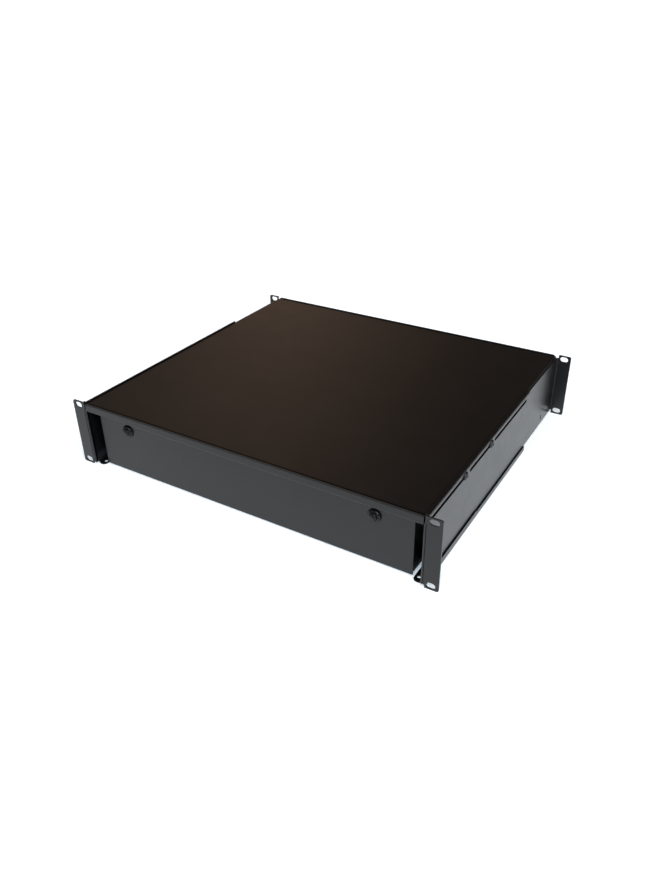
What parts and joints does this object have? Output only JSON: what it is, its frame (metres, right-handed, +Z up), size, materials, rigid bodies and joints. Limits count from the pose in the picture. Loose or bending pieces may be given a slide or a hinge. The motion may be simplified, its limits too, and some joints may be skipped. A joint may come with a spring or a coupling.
{
  "type": "fiber termination box",
  "caption": "Rack-mount fibre termination box: a steel housing with rack ears and depth-adjustable rear brackets around a sliding patch and splice drawer with a drop-down front.",
  "frame": {"origin": "centre of the bounding box at its bottom, on the plane the base pan rests on", "axes": "+Z up, -Y out of the front door, +X to the object's right seen from the front"},
  "size_m": [0.4826, 0.4122, 0.0863],
  "materials": {
    "powder_black": "black powder coat, fine grain, satin",
    "zinc_steel": "zinc plated",
    "screw_black": "black oxide",
    "knob_black": "gloss",
    "adapter_blue": "semi-gloss",
    "tray_plastic": "satin",
    "lid_clear": "clear",
    "rubber_black": "matt",
    "brass": "plain"
  },
  "bodies": {
    "frame": {"housing_cover": "powder_black", "front_rail": "powder_black", "rear_rail": "powder_black", "bracket_front_left": "powder_black", "bracket_front_right": "powder_black", "slide_outer_left": "zinc_steel", "slide_outer_right": "zinc_steel", "base_pan": "powder_black"},
    "rear_bracket_left": {"bracket_rear_left": "powder_black", "depth_screw_left_1": "screw_black", "depth_screw_left_2": "screw_black"},
    "rear_bracket_right": {"bracket_rear_right": "powder_black", "depth_screw_right_1": "screw_black", "depth_screw_right_2": "screw_black"},
    "slide_middle_left": {"slide_middle_left": "zinc_steel"},
    "slide_middle_right": {"slide_middle_right": "zinc_steel"},
    "drawer": {"drawer_tray": "powder_black", "slide_inner_left": "zinc_steel", "slide_inner_right": "zinc_steel", "adapter_panel": "powder_black", "adapter_01": "adapter_blue", "adapter_02": "adapter_blue", "adapter_03": "adapter_blue", "adapter_04": "adapter_blue", "adapter_05": "adapter_blue", "adapter_06": "adapter_blue", "adapter_07": "adapter_blue", "adapter_08": "adapter_blue", "adapter_09": "adapter_blue", "adapter_10": "adapter_blue", "adapter_11": "adapter_blue", "adapter_12": "adapter_blue", "fiber_spool_left": "tray_plastic", "fiber_spool_right": "tray_plastic", "splice_tray_lower": "tray_plastic", "splice_tray_upper": "tray_plastic", "splice_comb_lower": "adapter_blue", "splice_comb_upper": "adapter_blue", "splice_tray_lid": "lid_clear", "cable_anchor": "zinc_steel", "cable_trim_left": "rubber_black", "cable_trim_right": "rubber_black", "ground_stud": "brass", "ground_nut": "brass", "door_pivot_left": "screw_black", "door_pivot_right": "screw_black"},
    "door": {"door": "powder_black", "latch_sleeve_left": "knob_black", "latch_sleeve_right": "knob_black"},
    "latch_left": {"latch_plunger_left": "knob_black"},
    "latch_right": {"latch_plunger_right": "knob_black"}
  },
  "joints": [
    {"name": "drawer_slide", "type": "slide", "parent": "frame", "child": "drawer", "axis": [0, -1, 0], "range_m": [0, 0.3]},
    {"name": "slide_middle_left_travel", "type": "slide", "parent": "frame", "child": "slide_middle_left", "axis": [0, -1, 0], "range_m": [0, 0.15]},
    {"name": "slide_middle_right_travel", "type": "slide", "parent": "frame", "child": "slide_middle_right", "axis": [0, -1, 0], "range_m": [0, 0.15]},
    {"name": "rear_bracket_left_depth", "type": "slide", "parent": "frame", "child": "rear_bracket_left", "axis": [0, -1, 0], "range_m": [0, 0.058]},
    {"name": "rear_bracket_right_depth", "type": "slide", "parent": "frame", "child": "rear_bracket_right", "axis": [0, -1, 0], "range_m": [0, 0.058]},
    {"name": "door_hinge", "type": "hinge", "parent": "drawer", "child": "door", "pos_m": [0, -0.19265, 0.007], "axis": [1, 0, 0], "range_deg": [0, 80]},
    {"name": "latch_left_pull", "type": "slide", "parent": "door", "child": "latch_left", "axis": [0, -1, 0], "range_m": [0, 0.005]},
    {"name": "latch_right_pull", "type": "slide", "parent": "door", "child": "latch_right", "axis": [0, -1, 0], "range_m": [0, 0.005]}
  ],
  "couplings": [
    {"joint": "slide_middle_left_travel", "follows": "drawer_slide", "ratio": 0.5},
    {"joint": "slide_middle_right_travel", "follows": "drawer_slide", "ratio": 0.5}
  ]
}
